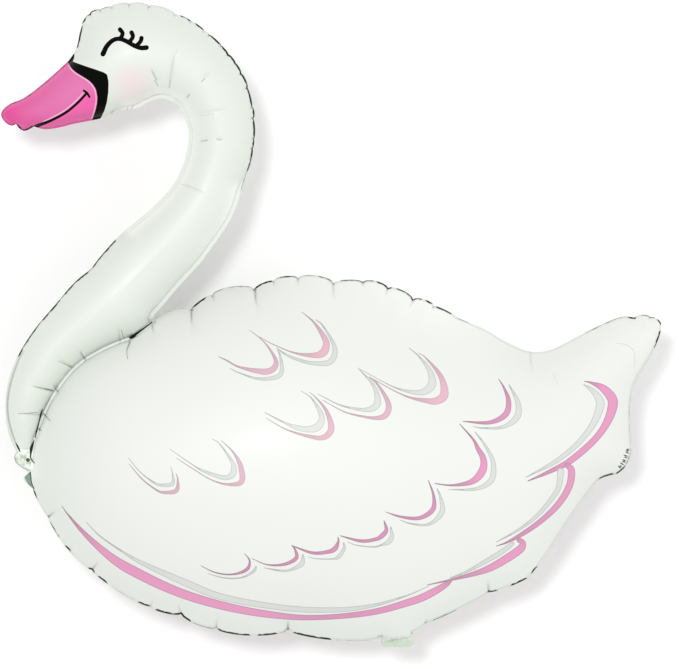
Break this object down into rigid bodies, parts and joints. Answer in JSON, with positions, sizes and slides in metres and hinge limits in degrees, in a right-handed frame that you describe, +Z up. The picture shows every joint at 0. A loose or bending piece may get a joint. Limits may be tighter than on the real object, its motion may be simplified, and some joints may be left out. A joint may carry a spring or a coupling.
{
  "type": "swan foil balloon",
  "caption": "Inflated foil balloon shaped as a swan, lying on its side, with a welded neck, puckered seams and flat film tabs.",
  "frame": {"origin": "on the floor, under the middle of the balloon's extent along X and Y", "axes": "+Z up, square to the seam plane; the beak points to -X and the top of the head to +Y"},
  "size_m": [0.8602, 0.8402, 0.3037],
  "materials": {
    "pearl_film": "satin pearl white film with a print in pink, grey and black"
  },
  "bodies": {
    "root": {"foil_envelope": "pearl_film"}
  },
  "joints": []
}
